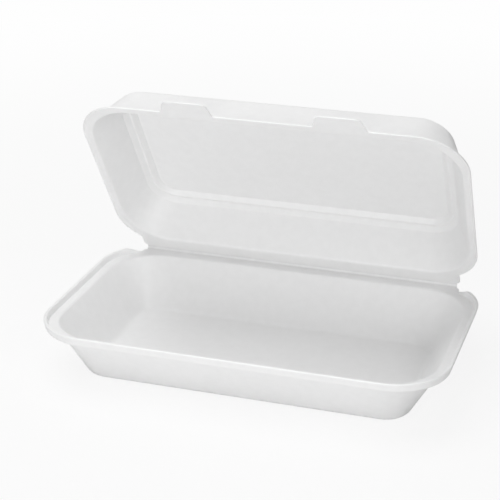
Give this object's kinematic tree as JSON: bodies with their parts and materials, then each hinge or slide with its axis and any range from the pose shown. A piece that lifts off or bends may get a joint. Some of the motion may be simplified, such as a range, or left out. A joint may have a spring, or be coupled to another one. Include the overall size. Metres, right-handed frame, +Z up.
{
  "type": "foam clamshell container",
  "caption": "Hinged foam take-away box with a drafted tray, a lipped rim, a lid that folds about a thin pressed hinge, and tabs that tuck into slits.",
  "frame": {"origin": "centre of the underside of the tray's flat bottom", "axes": "+Z up, +X along the box, the mouth faces -Y and the hinge lies along the back at +Y"},
  "size_m": [0.25, 0.1627, 0.167],
  "materials": {
    "foam": "satin skin of expanded polystyrene",
    "pressed_foam": "pressed, slightly glossier foam"
  },
  "bodies": {
    "base": {"base_tray": "foam", "living_hinge": "pressed_foam"},
    "lid": {"lid": "foam"}
  },
  "joints": [
    {"name": "lid_hinge", "type": "hinge", "parent": "base", "child": "lid", "pos_m": [0, 0.0765, 0.0343], "axis": [-1, 0, 0], "range_deg": [-55.5, 123], "deforming": ["living_hinge"]}
  ]
}
